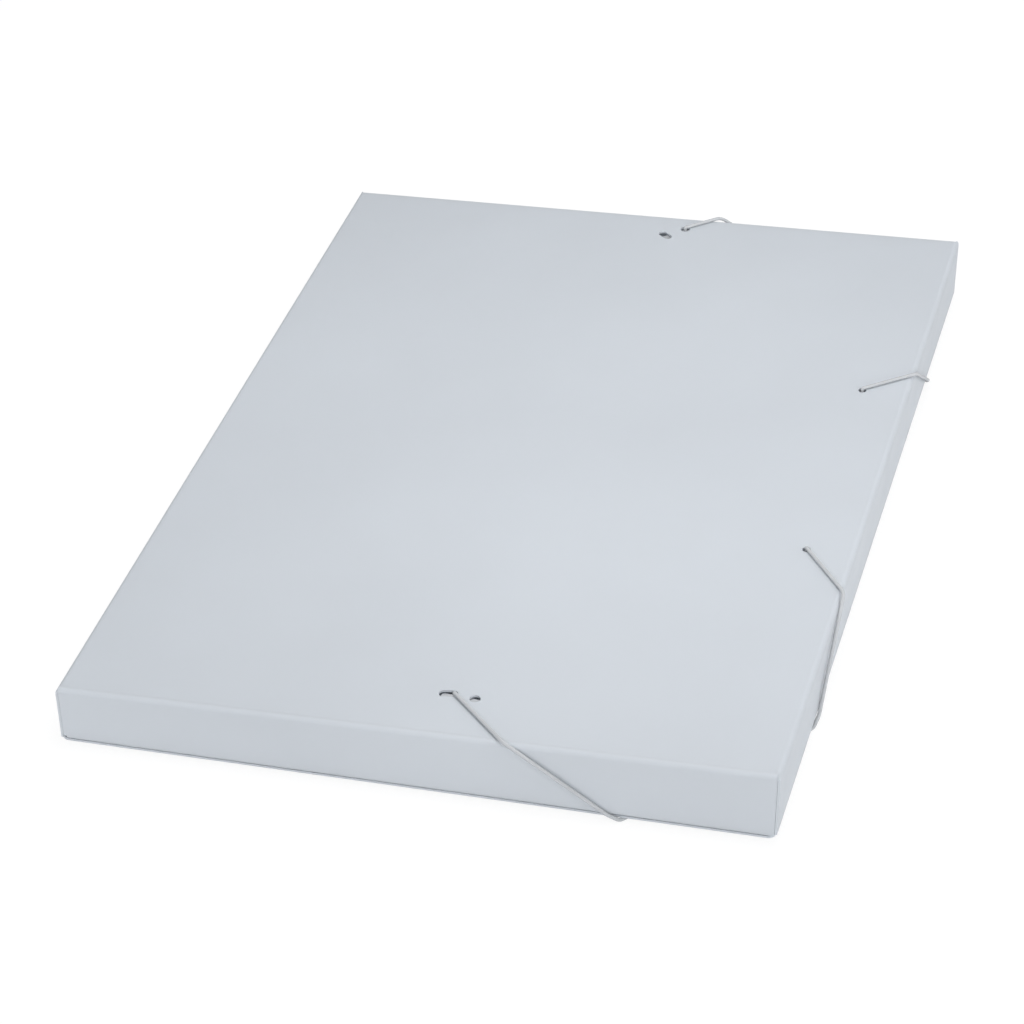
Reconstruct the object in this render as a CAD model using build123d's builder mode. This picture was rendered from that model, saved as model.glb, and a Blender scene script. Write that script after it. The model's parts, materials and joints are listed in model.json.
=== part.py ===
"""Elastic-closure file box of creased plastic sheet, closed and lying on its front cover.

Millimetres, +Z up, +Y along the spine. The origin is under the middle of the whole object.
"""
import os
from math import atan2, cos, degrees, radians, sin, tan

from build123d import *

# Overall sizes
box_width = 250.0  # spine to fore edge
box_length = 350.0  # near end to far end
spine_height = 22.5  # underside of the cover to top of the back panel, at the spine
fore_height = 26.8  # the same at the fore edge, where the closed sheet springs up a little
fore_lean = 3.0  # degrees by which the elastic draws the fore wall's foot inward

# Sheet
sheet = 0.8
fold_radius = 2.0  # outer radius of the folds along the back panel and the spine
flap_fold_radius = 1.6  # outer radius of the folds between walls and flaps
layer_gap = 0.3  # between the flaps and the cover
corner_gap = 0.1  # between an end wall and the spine wall or the fore wall
cover_inset = 1.0  # the cover stops short of the walls' outer faces
cover_corner = 2.5
flap_depth = 60.0
flap_relief = 2.0  # a flap's slanted side starts this far in from its wall's end
flap_corner = 6.0

# Elastic cord
cord = 1.4  # diameter
cord_lift = 0.1  # clearance between the cord and the sheet
cord_bend = 1.2  # where the cord turns into a hole
edge_bend = 4.0  # where the cord goes round an upper edge
under_bend = 2.5  # where the cord goes round a lower edge
near_slot = (132.4, 22.6)  # anchor holes, from the spine and from the nearer end
near_hole = (142.0, 21.4)
far_slot = (133.6, 15.6)
far_hole = (140.5, 9.5)
slot_length = 6.6
slot_width = 3.4
hole_width = 3.8
exit_shift = 2.2  # the near cord leaves its slot this far from the slot's middle
side_hole = 3.0
side_hole_inset = 17.0  # from the fore edge
near_side_hole = 127.0  # from the near end
far_side_hole = 117.0  # from the far end
near_over_end = 158.0  # where the cord crosses an end's upper edge, from the spine
far_over_end = 153.0
under_end = 196.0  # where it crosses an end's lower edge, from the spine
under_fore = 62.5  # where it crosses the fore lower edge, from the nearer end
over_fore = 103.0  # where it crosses the fore upper edge, from the nearer end
inner_drop = 0.9  # the inner stretch's middle below the back panel
inner_bend = 0.85

# Crimped metal bars on the cord's ends
tip_length = 15.0
tip_width = 2.4
tip_thickness = 1.4
tip_round = 0.45
tip_gap = 0.2

# Levels and outline, worked out from the sizes above
cord_radius = cord / 2
cord_out = cord_radius + cord_lift
cover_bottom = cord + cord_lift
flap_bottom = cover_bottom + sheet + layer_gap
left = -(box_width + cord + cord_lift) / 2
right = left + box_width
near = -box_length / 2
far = box_length / 2
rise = atan2(fore_height - spine_height, box_width)
lean = radians(fore_lean)

# The back panel's outer face: local X from the spine to the fore edge, local Y as +Y
lid = Plane(
    origin=(left, 0, cover_bottom + spine_height),
    x_dir=(cos(rise), 0, sin(rise)),
    z_dir=(-sin(rise), 0, cos(rise)),
)
lid_start = fold_radius * (1 - sin(rise)) / cos(rise)
lid_end = (box_width - fold_radius * (1 + sin(rise))) / cos(rise)
lid_span = lid_end - lid_start
lid_fore_edge = box_width / cos(rise)


def on_lid(along, across, above=0.0):
    """A point given by its distances along, across and above the back panel's outer face."""
    return lid.from_local_coords(Vector(along, across, above))


spine_top = on_lid(lid_start, 0, -fold_radius).Z
wall_foot = flap_bottom + flap_fold_radius

# The fore wall's outer face, from its upper fold to its foot
fore_out = Vector(cos(lean), 0, -sin(lean))
fore_top = on_lid(lid_end, 0, -fold_radius) + fore_out * fold_radius
fore_foot_level = wall_foot - flap_fold_radius * sin(lean)
fore_wall_height = (fore_top.Z - fore_foot_level) / cos(lean)
fore_foot = fore_top - Vector(sin(lean), 0, cos(lean)) * fore_wall_height


def end_wall_stop(level):
    """X of an end wall's fore edge at a level, just clear of the leaning fore wall."""
    return fore_top.X - (sheet + corner_gap) / cos(lean) - (fore_top.Z - level) * tan(lean)


def fold_line(x):
    """The point of the end walls' upper edge at x."""
    return on_lid((x - left - fold_radius * sin(rise)) / cos(rise), 0, -fold_radius)


def crease(start, along, outward, length, radius, turn):
    """A folded strip of sheet from start, whose outer face turns about an axis that runs along."""
    along = Vector(along)
    outward = Vector(outward)
    with BuildPart() as strip:
        with BuildSketch(Plane(origin=start, x_dir=along, z_dir=along.cross(outward))):
            Rectangle(length, sheet, align=(Align.MIN, Align.MAX))
        centre = Vector(start) - outward * radius
        revolve(axis=Axis(centre, along), revolution_arc=turn)
    return strip.part


def flap_outline(length):
    """A flap on local Y from 0 to its depth, with slanted sides and rounded free corners."""
    half = length / 2 - flap_relief
    reach = flap_depth - flap_fold_radius
    with BuildSketch() as outline:
        with BuildLine():
            Polyline(
                (-half, 0),
                (half, 0),
                (half - reach, reach),
                (-half + reach, reach),
                close=True,
            )
        make_face()
        fillet(outline.vertices().group_by(Axis.Y)[-1], flap_corner)
    return outline.sketch


os.makedirs("parts", exist_ok=True)
pieces = {}

# Front cover, the lower panel
with BuildPart() as front_cover:
    cover_left = left + fold_radius
    cover_right = fore_foot.X - cover_inset
    cover_size = (cover_right - cover_left, box_length - 2 * cover_inset)
    with BuildSketch(Plane((cover_left, 0, cover_bottom))) as cover_outline:
        Rectangle(*cover_size, align=(Align.MIN, Align.CENTER))
        fillet(cover_outline.vertices().group_by(Axis.X)[-1], cover_corner)
    extrude(amount=sheet)
pieces["front_cover"] = front_cover.part

# Spine wall
with BuildPart() as spine_wall:
    spine_foot = cover_bottom + fold_radius
    with BuildSketch(Plane(origin=(left, 0, spine_foot), x_dir=(0, 1, 0), z_dir=(1, 0, 0))):
        Rectangle(box_length, spine_top - spine_foot, align=(Align.CENTER, Align.MIN))
    extrude(amount=sheet)
pieces["spine_wall"] = spine_wall.part

# Anchor holes' middles on the back panel, the slot's and then the round hole's
anchors = {
    "near": [Vector(along, near + inset) for along, inset in (near_slot, near_hole)],
    "far": [Vector(along, far - inset) for along, inset in (far_slot, far_hole)],
}

# Back panel, with the anchor holes near both ends and two side holes near the fore edge
with BuildPart() as back_panel:
    panel_length = box_length - 2 * fold_radius
    with BuildSketch(lid):
        with Locations((lid_start, 0)):
            Rectangle(lid_span, panel_length, align=(Align.MIN, Align.CENTER))
        for slot_middle, hole_middle in anchors.values():
            tilt = Vector(1, 0).get_signed_angle(hole_middle - slot_middle)
            with Locations(slot_middle):
                SlotOverall(slot_length, slot_width, rotation=tilt, mode=Mode.SUBTRACT)
            with Locations(hole_middle):
                Circle(hole_width / 2, mode=Mode.SUBTRACT)
        side_along = lid_fore_edge - side_hole_inset
        with Locations((side_along, near + near_side_hole), (side_along, far - far_side_hole)):
            Circle(side_hole / 2, mode=Mode.SUBTRACT)
    extrude(amount=-sheet)
pieces["back_panel"] = back_panel.part

# End walls, whose upper edges follow the back panel
top_left = fold_line(left + sheet + corner_gap)
top_right = fold_line(end_wall_stop(fore_top.Z))
foot_right = end_wall_stop(wall_foot)
for name, outer, inward in (("near_wall", near, 1), ("far_wall", far, -1)):
    with BuildPart() as end_wall:
        with BuildSketch(Plane(origin=(0, outer, 0), x_dir=(1, 0, 0), z_dir=(0, -1, 0))):
            with BuildLine():
                Polyline(
                    (top_left.X, wall_foot),
                    (foot_right, wall_foot),
                    (top_right.X, top_right.Z),
                    (top_left.X, top_left.Z),
                    close=True,
                )
            make_face()
        extrude(amount=-sheet * inward)
    pieces[name] = end_wall.part

# Fore wall
with BuildPart() as fore_wall:
    with BuildSketch(Plane(origin=fore_foot, x_dir=(0, 1, 0), z_dir=fore_out)):
        Rectangle(box_length, fore_wall_height, align=(Align.CENTER, Align.MIN))
    extrude(amount=-sheet)
pieces["fore_wall"] = fore_wall.part

# Flaps, each on a plane whose local Y points inward from its wall's foot
foot_left = left + fold_radius
foot_span = foot_right - foot_left
foot_middle = (foot_right + foot_left) / 2
fore_flap_start = fore_foot - fore_out * flap_fold_radius
flap_planes = {
    "near_flap": (
        Plane((foot_middle, near + flap_fold_radius, flap_bottom), x_dir=(1, 0, 0)),
        foot_span,
    ),
    "far_flap": (
        Plane((foot_middle, far - flap_fold_radius, flap_bottom), x_dir=(-1, 0, 0)),
        foot_span,
    ),
    "fore_flap": (
        Plane((fore_flap_start.X, 0, flap_bottom), x_dir=(0, 1, 0)),
        box_length - 2 * fold_radius,
    ),
}
for name, (plane, length) in flap_planes.items():
    with BuildPart(plane) as flap:
        add(flap_outline(length))
        extrude(amount=sheet)
    pieces[name] = flap.part

# Creases of the spine
quarter = 90.0
rise_degrees = degrees(rise)
pieces["spine_lower_crease"] = crease(
    (left, far - cover_inset, cover_bottom + fold_radius),
    (0, -1, 0),
    (-1, 0, 0),
    box_length - 2 * cover_inset,
    fold_radius,
    quarter,
)
pieces["spine_upper_crease"] = crease(
    on_lid(lid_start, far - fold_radius),
    (0, -1, 0),
    lid.z_dir,
    panel_length,
    fold_radius,
    quarter - rise_degrees,
)

# Creases between the back panel and the walls
end_along = lid.to_local_coords(top_left).X
end_span = lid.to_local_coords(top_right).X - end_along
pieces["near_upper_crease"] = crease(
    on_lid(end_along, near + fold_radius), lid.x_dir, lid.z_dir, end_span, fold_radius, quarter
)
pieces["far_upper_crease"] = crease(
    on_lid(end_along + end_span, far - fold_radius),
    -lid.x_dir,
    lid.z_dir,
    end_span,
    fold_radius,
    quarter,
)
pieces["fore_upper_crease"] = crease(
    on_lid(lid_end, near + fold_radius),
    (0, 1, 0),
    lid.z_dir,
    panel_length,
    fold_radius,
    quarter + rise_degrees + fore_lean,
)

# Creases between the walls and their flaps
pieces["near_lower_crease"] = crease(
    (foot_left, near, wall_foot), (1, 0, 0), (0, -1, 0), foot_span, flap_fold_radius, quarter
)
pieces["far_lower_crease"] = crease(
    (foot_right, far, wall_foot), (-1, 0, 0), (0, 1, 0), foot_span, flap_fold_radius, quarter
)
pieces["fore_lower_crease"] = crease(
    fore_foot + Vector(0, near + fold_radius, 0),
    (0, 1, 0),
    fore_out,
    panel_length,
    flap_fold_radius,
    quarter - fore_lean,
)

# Elastic cord: its route round each fore corner, from the anchor hole to the side hole
near_slot_middle, near_hole_middle = anchors["near"]
near_exit = near_slot_middle + (near_hole_middle - near_slot_middle).normalized() * exit_shift
corner_routes = {
    "near": (near, 1, near_exit, near_over_end, near + near_side_hole),
    "far": (far, -1, anchors["far"][1], far_over_end, far - far_side_hole),
}
hole_foot = -sheet
for end, (outer, inward, leave, over_end, side) in corner_routes.items():
    outside = outer - inward * cord_out
    over_corner = on_lid(over_end / cos(rise), outside, cord_out)
    under_corner = Vector(left + under_end, outside, cord_radius)
    fore_under = Vector(fore_foot.X + cord_out, outer + inward * under_fore, cord_radius)
    fore_clear = cord_out + (cord_out + fold_radius) * tan(lean)
    fore_over = on_lid(
        lid_fore_edge + fore_clear / cos(rise), outer + inward * over_fore, cord_out
    )
    start = [
        on_lid(leave.X, leave.Y, hole_foot - tip_gap),
        on_lid(leave.X, leave.Y, cord_out),
        over_corner,
        under_corner,
    ]
    finish = [
        fore_under,
        fore_over,
        on_lid(side_along, side, cord_out),
        on_lid(side_along, side, hole_foot),
    ]
    # The stretch under the cover stops short of its two bends by the bends' own reach
    under_way = (fore_under - under_corner).normalized()
    under_reach = 2 * under_bend
    under_start = under_corner + under_way * under_reach
    under_finish = fore_under - under_way * under_reach
    for name, points, radii in (
        (f"{end}_elastic_start", start + [under_start], [cord_bend, edge_bend, under_bend]),
        (f"{end}_elastic_under", [under_start, under_finish], []),
        (f"{end}_elastic_finish", [under_finish] + finish, [under_bend, edge_bend, cord_bend]),
    ):
        with BuildPart() as run:
            with BuildLine() as route:
                if radii:
                    FilletPolyline(*points, radius=radii)
                else:
                    Line(*points)
            with BuildSketch(Plane(origin=route.line @ 0, z_dir=route.line % 0)):
                Circle(cord_radius)
            sweep()
        pieces[name] = run.part

# Elastic cord inside, under the back panel between the two side holes
with BuildPart() as inner_elastic:
    with BuildLine() as route:
        inner_level = hole_foot - inner_drop
        FilletPolyline(
            on_lid(side_along, near + near_side_hole, hole_foot),
            on_lid(side_along, near + near_side_hole, inner_level),
            on_lid(side_along, far - far_side_hole, inner_level),
            on_lid(side_along, far - far_side_hole, hole_foot),
            radius=inner_bend,
        )
    with BuildSketch(Plane(origin=route.line @ 0, z_dir=route.line % 0)):
        Circle(cord_radius)
    sweep()
pieces["inner_elastic"] = inner_elastic.part

# Metal bars on the cord's ends, across both anchor holes
for end, (slot_middle, hole_middle) in anchors.items():
    middle = (slot_middle + hole_middle) / 2
    tip_top = on_lid(middle.X, middle.Y, hole_foot - tip_gap)
    tip_way = on_lid(hole_middle.X, hole_middle.Y) - on_lid(slot_middle.X, slot_middle.Y)
    with BuildPart() as tip:
        with BuildSketch(Plane(origin=tip_top, x_dir=tip_way, z_dir=lid.z_dir)):
            SlotOverall(tip_length, tip_width)
        extrude(amount=-tip_thickness)
        chamfer(tip.faces().sort_by(Axis.Z)[0].edges(), tip_round)
    pieces[f"{end}_tip"] = tip.part

for name, piece in pieces.items():
    piece.label = name
    export_step(piece, f"parts/{name}.step")
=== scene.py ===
"""Looks of the elastic-closure file box: milky creased sheet, braided elastic and metal tips."""
import json
import math

import bmesh
import bpy
from mathutils import Matrix, Vector


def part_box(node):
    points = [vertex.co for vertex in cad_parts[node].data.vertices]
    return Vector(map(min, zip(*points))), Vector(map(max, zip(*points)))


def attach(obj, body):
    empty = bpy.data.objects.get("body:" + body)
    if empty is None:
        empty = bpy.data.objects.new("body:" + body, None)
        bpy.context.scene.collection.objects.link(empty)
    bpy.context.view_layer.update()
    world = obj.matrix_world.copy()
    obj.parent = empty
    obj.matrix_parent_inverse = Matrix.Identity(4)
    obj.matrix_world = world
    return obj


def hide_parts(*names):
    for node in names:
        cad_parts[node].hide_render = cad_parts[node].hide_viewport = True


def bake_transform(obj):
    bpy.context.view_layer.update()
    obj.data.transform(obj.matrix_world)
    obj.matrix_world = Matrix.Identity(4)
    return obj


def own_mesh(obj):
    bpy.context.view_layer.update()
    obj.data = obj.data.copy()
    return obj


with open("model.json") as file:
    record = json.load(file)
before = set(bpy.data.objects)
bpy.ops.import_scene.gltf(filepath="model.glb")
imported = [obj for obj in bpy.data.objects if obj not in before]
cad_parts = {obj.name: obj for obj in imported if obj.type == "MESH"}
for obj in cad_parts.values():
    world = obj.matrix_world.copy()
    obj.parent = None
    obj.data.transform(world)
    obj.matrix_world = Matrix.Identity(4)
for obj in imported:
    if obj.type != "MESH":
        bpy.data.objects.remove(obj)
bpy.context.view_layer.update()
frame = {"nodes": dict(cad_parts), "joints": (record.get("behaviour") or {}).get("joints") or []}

# Sheet and cord, in metres
SHEET = 0.0008
FOLD_RADIUS = 0.002
FLAP_FOLD_RADIUS = 0.0016
CORD = 0.0014
CORD_LIFT = 0.0001
CORD_RADIUS = CORD / 2
CORD_OUT = CORD_RADIUS + CORD_LIFT

FORE_LEAN = math.radians(3)

# Outline, read from the frame


def node_box(node):
    return (Vector(corner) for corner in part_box(node))


spine_low, spine_high = node_box("spine_wall")
cover_low, cover_high = node_box("front_cover")
flap_low, flap_high = node_box("near_flap")
near_wall_low, near_wall_high = node_box("near_wall")
foot_low, foot_high = node_box("near_lower_crease")
LEFT, RIGHT = spine_low.x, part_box("fore_upper_crease")[1][0]
NEAR, FAR = spine_low.y, spine_high.y
joints = {joint["name"]: joint for joint in frame["joints"]}
LID_X = -Vector(joints["near_wall_fold"]["axis"]).normalized()
LID_Y = Vector((0, 1, 0))
LID_Z = LID_X.cross(LID_Y)
lid_left = Vector((LEFT + FOLD_RADIUS, 0, spine_high.z)) + LID_Z * FOLD_RADIUS
LID_ORIGIN = lid_left - LID_X * ((lid_left.x - LEFT) / LID_X.x)
LID_SPAN = (RIGHT - FOLD_RADIUS + LID_Z.x * FOLD_RADIUS - lid_left.x) / LID_X.x
RISE = math.atan2(LID_X.z, LID_X.x)


def on_lid(along, across, above=0.0):
    """A point by its distances along, across and above the back panel's outer face."""
    return LID_ORIGIN + LID_X * along + LID_Y * across + LID_Z * above


# Node helpers for the materials
NOISE_LOW, NOISE_HIGH = 0.3, 0.7  # where a noise's values mostly lie


def new_material(name):
    material = bpy.data.materials.new(name)
    material.use_nodes = True
    tree = material.node_tree
    shader = tree.nodes["Principled BSDF"]
    return material, tree, shader


def add_node(tree, kind, **settings):
    node = tree.nodes.new(kind)
    for key, value in settings.items():
        if key in node.inputs:
            node.inputs[key].default_value = value
        else:
            setattr(node, key, value)
    return node


def noise(tree, scale, detail=3.0, roughness=0.55, stretch=(1, 1, 1)):
    """Noise on object coordinates, which are the frame's metres."""
    place = add_node(tree, "ShaderNodeTexCoord")
    mapping = add_node(tree, "ShaderNodeMapping")
    mapping.inputs["Scale"].default_value = stretch
    texture = add_node(tree, "ShaderNodeTexNoise", Scale=scale, Detail=detail, Roughness=roughness)
    tree.links.new(place.outputs["Object"], mapping.inputs["Vector"])
    tree.links.new(mapping.outputs["Vector"], texture.inputs["Vector"])
    return texture.outputs["Fac"]


def ramp(tree, source, stops):
    """A colour ramp over source, with stops of (position, colour)."""
    node = add_node(tree, "ShaderNodeValToRGB")
    elements = node.color_ramp.elements
    while len(elements) < len(stops):
        elements.new(0.5)
    for element, (position, colour) in zip(elements, stops):
        element.position = position
        element.color = (*colour, 1)
    tree.links.new(source, node.inputs["Fac"])
    return node.outputs["Color"]


def remap(tree, source, low, high):
    """A noise spread over low to high."""
    node = add_node(tree, "ShaderNodeMapRange")
    node.inputs["From Min"].default_value = NOISE_LOW
    node.inputs["From Max"].default_value = NOISE_HIGH
    node.inputs["To Min"].default_value = low
    node.inputs["To Max"].default_value = high
    tree.links.new(source, node.inputs["Value"])
    return node.outputs["Result"]


def bump(tree, shader, heights):
    """Chains bumps from (height, strength, distance) onto the shader's normal."""
    normal = None
    for height, strength, distance in heights:
        node = add_node(tree, "ShaderNodeBump")
        node.inputs["Strength"].default_value = strength
        node.inputs["Distance"].default_value = distance
        tree.links.new(height, node.inputs["Height"])
        if normal:
            tree.links.new(normal, node.inputs["Normal"])
        normal = node.outputs["Normal"]
    tree.links.new(normal, shader.inputs["Normal"])


def sheet_material():
    """Milky polypropylene: satin, faintly mottled, finely grained, with some light through it."""
    material, tree, shader = new_material("milky_sheet")
    cloud = noise(tree, 9.0, 2.0)
    colour = ramp(
        tree, cloud, ((0.3, (0.660, 0.692, 0.732)), (0.7, (0.690, 0.724, 0.765)))
    )
    tree.links.new(colour, shader.inputs["Base Color"])
    tree.links.new(remap(tree, noise(tree, 60.0), 0.50, 0.62), shader.inputs["Roughness"])
    grain = noise(tree, 2600.0, 2.0)
    ripple = noise(tree, 14.0, 1.0)
    bump(tree, shader, ((grain, 0.10, 0.0001), (ripple, 0.35, 0.0012)))
    shader.inputs["IOR"].default_value = 1.49
    shader.inputs["Transmission Weight"].default_value = 0.30
    shader.inputs["Specular IOR Level"].default_value = 0.4
    return material


def cord_material():
    """White braided elastic, coloured grey as painted shade so that it reads darker than the sheet,
    with a random fine tone along its fibres.
    """
    material, tree, shader = new_material("braided_elastic_painted_shade")
    fibre = noise(tree, 5200.0, 3.0)
    # Painted shade: the elastic's colour runs over greys of about 0.38 to 0.52 instead of white, so
    # that the cord reads darker than the sheet.
    colour = ramp(tree, fibre, ((0.25, (0.38, 0.39, 0.405)), (0.75, (0.50, 0.51, 0.52))))
    tree.links.new(colour, shader.inputs["Base Color"])
    tree.links.new(remap(tree, fibre, 0.75, 0.95), shader.inputs["Roughness"])
    bump(tree, shader, ((fibre, 0.3, 0.00005),))
    shader.inputs["Subsurface Weight"].default_value = 0.5
    shader.inputs["Subsurface Radius"].default_value = (1, 1, 1)
    shader.inputs["Subsurface Scale"].default_value = 0.0012
    return material


def metal_material():
    """Dull crimped steel, lightly scratched along its length."""
    material, tree, shader = new_material("crimped_steel")
    scratch = noise(tree, 900.0, 4.0, stretch=(0.15, 1, 1))
    colour = ramp(tree, scratch, ((0.3, (0.50, 0.51, 0.53)), (0.7, (0.66, 0.67, 0.69))))
    tree.links.new(colour, shader.inputs["Base Color"])
    tree.links.new(remap(tree, scratch, 0.42, 0.6), shader.inputs["Roughness"])
    bump(tree, shader, ((scratch, 0.2, 0.00005),))
    shader.inputs["Metallic"].default_value = 0.6
    return material


SHEET_LOOK = sheet_material()
CORD_LOOK = cord_material()
METAL_LOOK = metal_material()


def dress(node, material):
    """Gives a carried-over CAD node its material."""
    obj = frame["nodes"][node]
    obj.data.materials.clear()
    obj.data.materials.append(material)


def new_piece(name, mesh, body, material):
    obj = bpy.data.objects.new(name, mesh)
    bpy.context.scene.collection.objects.link(obj)
    mesh.materials.append(material)
    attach(obj, body)
    return obj


QUARTER = math.pi / 2
lid_near, lid_far = NEAR + FOLD_RADIUS, FAR - FOLD_RADIUS
side_length = lid_far - lid_near
lid_from = (lid_left - LID_ORIGIN).length
lid_to = lid_from + LID_SPAN
foot = flap_low.z + FLAP_FOLD_RADIUS
cover_length = cover_high.y - cover_low.y
foot_span = foot_high.x - foot_low.x


def end_along(x):
    """How far along the panel an end's upper fold reaches where its wall reaches x."""
    return (x - LEFT - FOLD_RADIUS * math.sin(RISE)) / math.cos(RISE)


end_from, end_to = end_along(near_wall_low.x), end_along(near_wall_high.x)
fore_out = Vector((math.cos(FORE_LEAN), 0, -math.sin(FORE_LEAN)))
fore_down = Vector((-math.sin(FORE_LEAN), 0, -math.cos(FORE_LEAN)))
fore_top = on_lid(lid_to, 0, -FOLD_RADIUS) + fore_out * FOLD_RADIUS
fore_foot_level = foot - FLAP_FOLD_RADIUS * math.sin(FORE_LEAN)
fore_foot = fore_top + fore_down * ((fore_top.z - fore_foot_level) / math.cos(FORE_LEAN))

# Panels: the outline of each CAD node, cut into cells and bowed a little between its folds
CELL = 0.009
MERGE = 1e-7
FLAT = math.radians(0.5)
SHARP = math.radians(35)
BACK_BOW = 0.0009
BACK_RIPPLE = 0.00016
WALL_BOW = 0.0004
CORNER_SHARE = 0.12  # of a wall's length, in which its bow comes in
FLAP_CURL = 0.0009
COVER_BOW = 0.0004


def arch(share):
    """A rise that is 0 at both ends of 0 to 1 and 1 in its middle."""
    return math.sin(math.pi * min(max(share, 0.0), 1.0))


def bow_back(u, v):
    """The back panel's rise, with slow waves across it, for shares u and v of its two sides."""
    waves = math.sin(5.1 * u + 2.3 * v + 0.4) + 0.6 * math.sin(3.7 * u - 7.9 * v + 1.9)
    return arch(u) * arch(v) * (BACK_BOW + BACK_RIPPLE * waves)


def bow_wall(u, v):
    """A wall's inward bow between its folds, uneven along its length and none at its corners."""
    held = max(0.0, min(1.0, u / CORNER_SHARE, (1 - u) / CORNER_SHARE))
    return -WALL_BOW * arch(v) * held * (0.75 + 0.25 * math.sin(7.3 * u + 1.1))


def bow_spine(u, v):
    return 0.5 * bow_wall(u, v)


def curl_flap(u, v):
    """A flap's curl inward, from its fold at v = 0 to its free edge."""
    return -FLAP_CURL * v * v * (0.8 + 0.2 * math.sin(6.0 * u + 0.5))


def bow_cover(u, v):
    """The cover's small rise between its fold and its free edges."""
    return -COVER_BOW * arch(u) * arch(v) * (0.8 + 0.2 * math.sin(8.0 * v + 2.0))


def panel(node, corner, along, across, outward, size, bow):
    """A finer copy of a flat CAD node, moved outward by what bow gives for each place on it."""
    corner, along = Vector(corner), Vector(along).normalized()
    across, outward = Vector(across).normalized(), Vector(outward).normalized()
    form = bmesh.new()
    form.from_mesh(frame["nodes"][node].data)
    bmesh.ops.remove_doubles(form, verts=form.verts, dist=MERGE)
    bmesh.ops.dissolve_limit(form, angle_limit=FLAT, verts=form.verts, edges=form.edges)
    for way, span in ((along, size[0]), (across, size[1])):
        count = max(4, round(span / CELL))
        for step in range(1, count):
            parts = form.verts[:] + form.edges[:] + form.faces[:]
            place = corner + way * (span * step / count)
            bmesh.ops.bisect_plane(form, geom=parts, dist=MERGE, plane_co=place, plane_no=way)
    for vertex in form.verts:
        reach = vertex.co - corner
        vertex.co += outward * bow(reach.dot(along) / size[0], reach.dot(across) / size[1])
    mesh = bpy.data.meshes.new(node + "_sheet")
    form.to_mesh(mesh)
    form.free()
    mesh.shade_smooth()
    mesh.set_sharp_from_angle(angle=SHARP)
    piece = new_piece(node + "_sheet", mesh, BODY_OF[node], SHEET_LOOK)
    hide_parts(node)
    return piece


BODY_OF = {
    "front_cover": "cover",
    "spine_wall": "spine",
    "back_panel": "back",
    "near_wall": "near_side",
    "far_wall": "far_side",
    "fore_wall": "fore_side",
    "near_flap": "near_inner_flap",
    "far_flap": "far_inner_flap",
    "fore_flap": "fore_inner_flap",
}
UP, DOWN = Vector((0, 0, 1)), Vector((0, 0, -1))
EAST, NORTH = Vector((1, 0, 0)), Vector((0, 1, 0))
end_length = near_wall_high.x - near_wall_low.x
end_height = near_wall_high.z - near_wall_low.z
flap_reach = flap_high.y - flap_low.y
fore_flap_low, fore_flap_high = node_box("fore_flap")

panel(
    "back_panel", on_lid(lid_from, lid_near), LID_X, LID_Y, LID_Z,
    (LID_SPAN, side_length), bow_back,
)
panel(
    "front_cover", (cover_low.x, cover_low.y, cover_low.z), EAST, NORTH, DOWN,
    (cover_high.x - cover_low.x, cover_length), bow_cover,
)
panel(
    "spine_wall", (LEFT, NEAR, spine_low.z), NORTH, UP, -EAST,
    (FAR - NEAR, spine_high.z - spine_low.z), bow_spine,
)
panel(
    "fore_wall", fore_foot + NORTH * NEAR, NORTH, -fore_down, fore_out,
    (FAR - NEAR, (fore_top - fore_foot).length), bow_wall,
)
panel(
    "near_wall", (near_wall_low.x, NEAR, near_wall_low.z), EAST, UP, -NORTH,
    (end_length, end_height), bow_wall,
)
panel(
    "far_wall", (near_wall_low.x, FAR, near_wall_low.z), EAST, UP, NORTH,
    (end_length, end_height), bow_wall,
)
panel(
    "near_flap", (foot_low.x, flap_low.y, flap_low.z), EAST, NORTH, DOWN,
    (foot_span, flap_reach), curl_flap,
)
panel(
    "far_flap", (foot_low.x, -flap_low.y, flap_low.z), EAST, -NORTH, DOWN,
    (foot_span, flap_reach), curl_flap,
)
panel(
    "fore_flap", (fore_flap_high.x, fore_flap_low.y, flap_low.z), NORTH, -EAST, DOWN,
    (fore_flap_high.y - fore_flap_low.y, fore_flap_high.x - fore_flap_low.x), curl_flap,
)

# Creases: a scored line along each edge of the fold, bent between the two bodies that it joins
SCORE_DEPTH = 0.00003
SCORE_SHARE = 0.15  # of the fold's turn
FOLD_STEPS = 16
LENGTH_STEP = 0.012
EAR_GAP = 0.00004


def fold_strip(form, start, along, outward, length, radius, turn):
    """Adds a closed strip to form, whose outer face turns from outward about an axis along it."""
    centre = start - outward * radius
    outer_line, inner_line = [], []
    for step in range(FOLD_STEPS + 1):
        share = step / FOLD_STEPS
        edge = min(share, 1 - share) / SCORE_SHARE
        score = SCORE_DEPTH * max(0.0, 1 - edge)
        arm = Matrix.Rotation(turn * share, 3, along) @ outward
        outer_line.append(centre + arm * (radius - score))
        inner_line.append(centre + arm * (radius - SHEET))
    profile = outer_line + inner_line[::-1]
    pieces = max(2, round(length / LENGTH_STEP))
    rings = []
    for step in range(pieces + 1):
        shift = along * (length * step / pieces)
        rings.append([form.verts.new(point + shift) for point in profile])
    count = len(profile)
    faces = []
    for ring, after in zip(rings, rings[1:]):
        for index in range(count):
            following = (index + 1) % count
            faces.append((ring[index], after[index], after[following], ring[following]))
    faces.append(rings[0])
    faces.append(rings[-1][::-1])
    return [form.faces.new(corners) for corners in faces]


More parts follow.
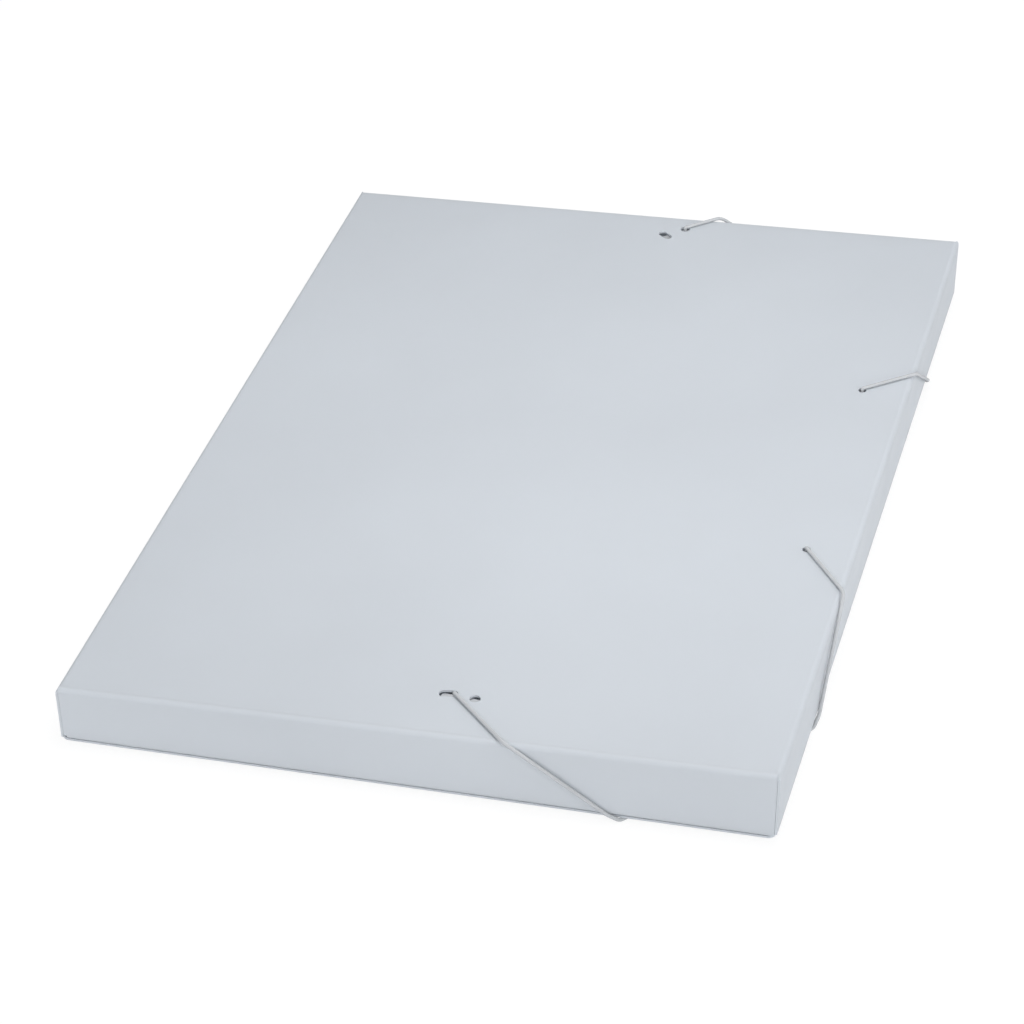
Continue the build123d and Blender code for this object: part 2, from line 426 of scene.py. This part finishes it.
def crease(
    name, body_to, start, along, outward, length, radius, turn, ears=None
):
    """A fold between two bodies; ears carry it on past both ends, outside a point given."""
    along = Vector(along).normalized()
    outward = Vector(outward).normalized()
    start = Vector(start)
    form = bmesh.new()
    fold_strip(form, start, along, outward, length, radius, turn)
    if ears:
        way, place = ears
        for place_start in (start - along * radius, start + along * length):
            faces = fold_strip(form, place_start, along, outward, radius, radius, turn)
            edges = {edge for face in faces for edge in face.edges}
            verts = {vertex for face in faces for vertex in face.verts}
            cut = bmesh.ops.bisect_plane(
                form, geom=[*verts, *edges, *faces], plane_co=place, plane_no=way,
                dist=MERGE, clear_inner=True,
            )
            rim = [part for part in cut["geom_cut"] if isinstance(part, bmesh.types.BMEdge)]
            bmesh.ops.holes_fill(form, edges=rim)
    bmesh.ops.recalc_face_normals(form, faces=form.faces)
    mesh = bpy.data.meshes.new(name + "_fold")
    form.to_mesh(mesh)
    form.free()
    mesh.shade_smooth()
    mesh.set_sharp_from_angle(angle=SHARP)
    piece = new_piece(name + "_fold", mesh, body_to, SHEET_LOOK)
    piece.parent = None
    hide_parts(name)
    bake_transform(piece)
    return piece


crease(
    "spine_lower_crease", "cover",
    (LEFT, cover_high.y, cover_low.z + FOLD_RADIUS), (0, -1, 0), (-1, 0, 0),
    cover_length, FOLD_RADIUS, QUARTER,
)
crease(
    "spine_upper_crease", "spine",
    on_lid(lid_from, lid_far), (0, -1, 0), LID_Z,
    side_length, FOLD_RADIUS, QUARTER - RISE,
    ears=(-EAST, Vector((near_wall_low.x - EAR_GAP, 0, 0))),
)
crease(
    "near_upper_crease", "near_side",
    on_lid(end_from, lid_near), LID_X, LID_Z,
    end_to - end_from, FOLD_RADIUS, QUARTER,
)
crease(
    "far_upper_crease", "far_side",
    on_lid(end_to, lid_far), -LID_X, LID_Z,
    end_to - end_from, FOLD_RADIUS, QUARTER,
)
crease(
    "fore_upper_crease", "fore_side",
    on_lid(lid_to, lid_near), (0, 1, 0), LID_Z,
    side_length, FOLD_RADIUS, QUARTER + RISE + FORE_LEAN,
    ears=(EAST, Vector((near_wall_high.x + EAR_GAP, 0, 0))),
)
crease(
    "near_lower_crease", "near_inner_flap",
    (foot_low.x, NEAR, foot), (1, 0, 0), (0, -1, 0),
    foot_span, FLAP_FOLD_RADIUS, QUARTER,
)
crease(
    "far_lower_crease", "far_inner_flap",
    (foot_high.x, FAR, foot), (-1, 0, 0), (0, 1, 0),
    foot_span, FLAP_FOLD_RADIUS, QUARTER,
)
crease(
    "fore_lower_crease", "fore_inner_flap",
    fore_foot + Vector((0, lid_near, 0)), (0, 1, 0), fore_out,
    side_length, FLAP_FOLD_RADIUS, QUARTER - FORE_LEAN,
)

# Elastic cord: the same route as its solids, from the spine and from the nearer end
NEAR_EXIT = (0.13458, NEAR + 0.02233)
FAR_EXIT = (0.1405, FAR - 0.0095)
SIDE_ALONG = (RIGHT - LEFT) / math.cos(RISE) - 0.017
NEAR_SIDE_HOLE = NEAR + 0.127
FAR_SIDE_HOLE = NEAR + 0.233
NEAR_OVER_END = 0.158
FAR_OVER_END = 0.153
UNDER_END = 0.196
UNDER_FORE = 0.0625
OVER_FORE = 0.103
FORE_CLEAR = CORD_OUT + (CORD_OUT + FOLD_RADIUS) * math.tan(FORE_LEAN)
INNER_DROP = 0.0009
TIP_GAP = 0.0002
HOLE_BEND = 0.0009  # how far from a corner the cord starts to turn
UPPER_BEND = 0.0045
FOOT_BEND = 0.0023

# Round a lower edge, the cord follows the wall's foot and then tucks in under the cover's edge
FOOT_LEVEL = 0.0034
FOOT_STEP_END = 0.0039
FOOT_STEP_FORE = 0.0039
TUCK = 0.0004

# Braid, in metres and counts
BRAID_STRANDS = 8
BRAID_PITCH = 0.0034
BRAID_HEIGHT = 0.00007
BRAID_STEP = 0.00024
BRAID_SIDES = 24


def spline_points(name, corners, reaches):
    """The smooth line through a taut route: straight runs that turn within reach of each corner."""
    points = [corners[0]]
    for before, corner, after, reach in zip(corners, corners[1:], corners[2:], reaches):
        points.append(corner + (before - corner).normalized() * reach)
        points.append(corner)
        points.append(corner + (after - corner).normalized() * reach)
    points.append(corners[-1])
    curve = bpy.data.curves.new(name + "_line", "CURVE")
    curve.dimensions = "3D"
    curve.resolution_u = 10
    spline = curve.splines.new("NURBS")
    spline.points.add(len(points) - 1)
    for place, point in zip(spline.points, points):
        place.co = (*point, 1)
    spline.order_u = 3
    spline.use_endpoint_u = True
    holder = bpy.data.objects.new(name + "_line", curve)
    bpy.context.scene.collection.objects.link(holder)
    line = bpy.data.meshes.new_from_object(holder)
    path = [vertex.co.copy() for vertex in line.vertices]
    bpy.data.objects.remove(holder)
    bpy.data.curves.remove(curve)
    bpy.data.meshes.remove(line)
    return path


def even_points(path, step):
    """Points an even step apart along a path."""
    lengths = [0.0]
    for a, b in zip(path, path[1:]):
        lengths.append(lengths[-1] + (b - a).length)
    count = max(2, round(lengths[-1] / step))
    found, index = [], 0
    for number in range(count + 1):
        target = lengths[-1] * number / count
        while index < len(path) - 2 and lengths[index + 1] < target:
            index += 1
        span = lengths[index + 1] - lengths[index]
        share = (target - lengths[index]) / span if span else 0.0
        found.append(path[index].lerp(path[index + 1], share))
    return found


def braided_tube(name, path, body):
    """A tube along path whose skin rises where the strands of the braid cross over."""
    points = even_points(path, BRAID_STEP)
    form = bmesh.new()
    rings = []
    side = (points[1] - points[0]).orthogonal().normalized()
    travelled = 0.0
    for number, point in enumerate(points):
        before = points[max(number - 1, 0)]
        after = points[min(number + 1, len(points) - 1)]
        tangent = (after - before).normalized()
        side = (side - tangent * side.dot(tangent)).normalized()
        other = tangent.cross(side)
        if number:
            travelled += (point - points[number - 1]).length
        phase = travelled / BRAID_PITCH * 2 * math.pi
        ring = []
        for step in range(BRAID_SIDES):
            angle = step / BRAID_SIDES * 2 * math.pi
            one = math.sin(BRAID_STRANDS / 2 * angle + phase)
            two = math.sin(BRAID_STRANDS / 2 * angle - phase)
            rise = BRAID_HEIGHT * (abs(one * two) - 1)
            arm = side * math.cos(angle) + other * math.sin(angle)
            ring.append(form.verts.new(point + arm * (CORD_RADIUS + rise)))
        rings.append(ring)
    for ring, after in zip(rings, rings[1:]):
        for index in range(BRAID_SIDES):
            following = (index + 1) % BRAID_SIDES
            form.faces.new((ring[index], ring[following], after[following], after[index]))
    form.faces.new(rings[0][::-1])
    form.faces.new(rings[-1])
    bmesh.ops.recalc_face_normals(form, faces=form.faces)
    mesh = bpy.data.meshes.new(name)
    form.to_mesh(mesh)
    form.free()
    mesh.shade_smooth()
    return new_piece(name, mesh, body, CORD_LOOK)


def on_panel(along, across, above):
    """A point above the bowed back panel."""
    u = (along - lid_from) / LID_SPAN
    v = (across - lid_near) / side_length
    return on_lid(along, across, above + bow_back(u, v))


def corner_elastic(end, outer, inward, leave, over_end, side):
    outside = outer - inward * CORD_OUT
    corners = [
        on_lid(*leave, -SHEET - TIP_GAP),
        on_panel(*leave, CORD_OUT),
        on_lid(over_end / math.cos(RISE), outside, CORD_OUT),
        Vector((LEFT + UNDER_END - FOOT_STEP_END, outside, FOOT_LEVEL)),
        Vector((LEFT + UNDER_END, outer + inward * TUCK, CORD_RADIUS)),
        Vector((fore_foot.x - TUCK, outer + inward * UNDER_FORE, CORD_RADIUS)),
        Vector(
            (fore_foot.x + CORD_OUT, outer + inward * (UNDER_FORE + FOOT_STEP_FORE), FOOT_LEVEL)
        ),
        on_lid((RIGHT - LEFT + FORE_CLEAR) / math.cos(RISE), outer + inward * OVER_FORE, CORD_OUT),
        on_panel(SIDE_ALONG, side, CORD_OUT),
        on_panel(SIDE_ALONG, side, -SHEET),
    ]
    reaches = [
        HOLE_BEND, UPPER_BEND, FOOT_BEND, FOOT_BEND, FOOT_BEND, FOOT_BEND, UPPER_BEND, HOLE_BEND,
    ]
    path = spline_points(end, corners, reaches)
    piece = braided_tube(end + "_elastic", path, end + "_cord")
    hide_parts(*(f"{end}_elastic_{run}" for run in ("start", "under", "finish")))
    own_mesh(piece)
    return piece


corner_elastic("near", NEAR, 1, NEAR_EXIT, NEAR_OVER_END, NEAR_SIDE_HOLE)
corner_elastic("far", FAR, -1, FAR_EXIT, FAR_OVER_END, FAR_SIDE_HOLE)

inner_level = -SHEET - INNER_DROP
inner_path = spline_points(
    "inner",
    [
        on_panel(SIDE_ALONG, NEAR_SIDE_HOLE, -SHEET),
        on_panel(SIDE_ALONG, NEAR_SIDE_HOLE, inner_level),
        on_panel(SIDE_ALONG, FAR_SIDE_HOLE, inner_level),
        on_panel(SIDE_ALONG, FAR_SIDE_HOLE, -SHEET),
    ],
    [HOLE_BEND, HOLE_BEND],
)
inner_piece = braided_tube("inner_run", inner_path, "back")
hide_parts("inner_elastic")

# Metal tips keep their CAD shape
for tip in ("near_tip", "far_tip"):
    dress(tip, METAL_LOOK)

# Floor, which is white to the camera and keeps the object's soft shadow
FLOOR_HALF = 6.0
FLOOR_OWN_LIGHT = 0.85
FLOOR_GLOW = 1.04


def seen_directly(tree):
    """1 for camera, glossy and transmission rays, 0 for the rays that light the object."""
    path = add_node(tree, "ShaderNodeLightPath")
    total = path.outputs["Is Camera Ray"]
    for ray in ("Is Glossy Ray", "Is Transmission Ray"):
        both = add_node(tree, "ShaderNodeMath", operation="MAXIMUM")
        tree.links.new(total, both.inputs[0])
        tree.links.new(path.outputs[ray], both.inputs[1])
        total = both.outputs["Value"]
    return total


def floor():
    mesh = bpy.data.meshes.new("floor")
    signs = ((-1, -1), (1, -1), (1, 1), (-1, 1))
    corners = [(FLOOR_HALF * x, FLOOR_HALF * y, 0) for x, y in signs]
    mesh.from_pydata(corners, [], [(0, 1, 2, 3)])
    plane = bpy.data.objects.new("floor", mesh)
    bpy.context.scene.collection.objects.link(plane)
    material, tree, shader = new_material("floor_white")
    shader.inputs["Base Color"].default_value = (0.92, 0.92, 0.92, 1)
    shader.inputs["Roughness"].default_value = 0.9
    glow = add_node(tree, "ShaderNodeEmission")
    glow.inputs["Color"].default_value = (1, 1, 1, 1)
    glow.inputs["Strength"].default_value = FLOOR_GLOW
    mix = add_node(tree, "ShaderNodeMixShader")
    seen = seen_directly(tree)
    share = add_node(tree, "ShaderNodeMath", operation="MULTIPLY")
    share.inputs[1].default_value = FLOOR_OWN_LIGHT
    tree.links.new(seen, share.inputs[0])
    tree.links.new(share.outputs["Value"], mix.inputs["Fac"])
    tree.links.new(shader.outputs["BSDF"], mix.inputs[1])
    tree.links.new(glow.outputs["Emission"], mix.inputs[2])
    output = tree.nodes["Material Output"]
    tree.links.new(mix.outputs["Shader"], output.inputs["Surface"])
    mesh.materials.append(material)


floor()

# World and lamp: even light with a broad soft side that faces the near and fore walls
WORLD_LEVEL = 0.57
SIDE_LEVEL = 1.65
SIDE_WAY = Vector((0.62, -0.78, 0.10)).normalized()
SIDE_POWER = 2.0  # how fast the side's light falls off round it
KEY_PLACE = (0.07, -0.03, 0.50)
KEY_AIM = (0.07, -0.03, 0)
KEY_SIZE = 0.3
KEY_POWER = 1.25


def studio():
    world = bpy.data.worlds.new("studio")
    bpy.context.scene.world = world
    world.use_nodes = True
    tree = world.node_tree
    background = tree.nodes["Background"]
    background.inputs["Color"].default_value = (0.97, 0.985, 1.0, 1)
    place = add_node(tree, "ShaderNodeTexCoord")
    facing = add_node(tree, "ShaderNodeVectorMath", operation="DOT_PRODUCT")
    facing.inputs[1].default_value = SIDE_WAY
    tree.links.new(place.outputs["Generated"], facing.inputs[0])
    front = add_node(tree, "ShaderNodeMath", operation="MAXIMUM")
    front.inputs[1].default_value = 0.0
    tree.links.new(facing.outputs["Value"], front.inputs[0])
    soft = add_node(tree, "ShaderNodeMath", operation="POWER")
    soft.inputs[1].default_value = SIDE_POWER
    tree.links.new(front.outputs["Value"], soft.inputs[0])
    level = add_node(tree, "ShaderNodeMath", operation="MULTIPLY_ADD")
    level.inputs[1].default_value = SIDE_LEVEL
    level.inputs[2].default_value = WORLD_LEVEL
    tree.links.new(soft.outputs["Value"], level.inputs[0])
    path = add_node(tree, "ShaderNodeLightPath")
    shown = add_node(tree, "ShaderNodeMath", operation="MAXIMUM")
    tree.links.new(level.outputs["Value"], shown.inputs[0])
    tree.links.new(path.outputs["Is Camera Ray"], shown.inputs[1])
    tree.links.new(shown.outputs["Value"], background.inputs["Strength"])


studio()


def area_lamp(name, place, aim, size, power):
    data = bpy.data.lights.new(name, "AREA")
    data.shape = "SQUARE"
    data.size = size
    data.energy = power
    lamp = bpy.data.objects.new(name, data)
    bpy.context.scene.collection.objects.link(lamp)
    lamp.location = place
    lamp.rotation_euler = (Vector(aim) - Vector(place)).to_track_quat("-Z", "Y").to_euler()
    return lamp


area_lamp("key", KEY_PLACE, KEY_AIM, KEY_SIZE, KEY_POWER)

# Camera, fitted to the photograph's outline of the box
CAMERA_PLACE = (0.3052, -1.0565, 0.7472)
CAMERA_PITCH = math.radians(34.28)
CAMERA_YAW = math.radians(-16.82)
CAMERA_ROLL = math.radians(-2.82)
FOCAL_PIXELS = 3570.0
PHOTO_PIXELS = 1024.0
SENSOR = 36.0


def camera():
    data = bpy.data.cameras.new("camera")
    data.sensor_width = SENSOR
    data.lens = FOCAL_PIXELS / PHOTO_PIXELS * SENSOR
    data.clip_start = 0.05
    data.clip_end = 30.0
    holder = bpy.data.objects.new("camera", data)
    bpy.context.scene.collection.objects.link(holder)
    forward = Vector(
        (
            math.sin(CAMERA_YAW) * math.cos(CAMERA_PITCH),
            math.cos(CAMERA_YAW) * math.cos(CAMERA_PITCH),
            -math.sin(CAMERA_PITCH),
        )
    )
    level = Vector((math.cos(CAMERA_YAW), -math.sin(CAMERA_YAW), 0))
    above = level.cross(forward)
    across = level * math.cos(CAMERA_ROLL) + above * math.sin(CAMERA_ROLL)
    up = above * math.cos(CAMERA_ROLL) - level * math.sin(CAMERA_ROLL)
    turn = Matrix((across, up, -forward)).transposed().to_4x4()
    holder.matrix_world = Matrix.Translation(CAMERA_PLACE) @ turn
    bpy.context.scene.camera = holder


camera()
bpy.context.scene.view_settings.view_transform = "Standard"
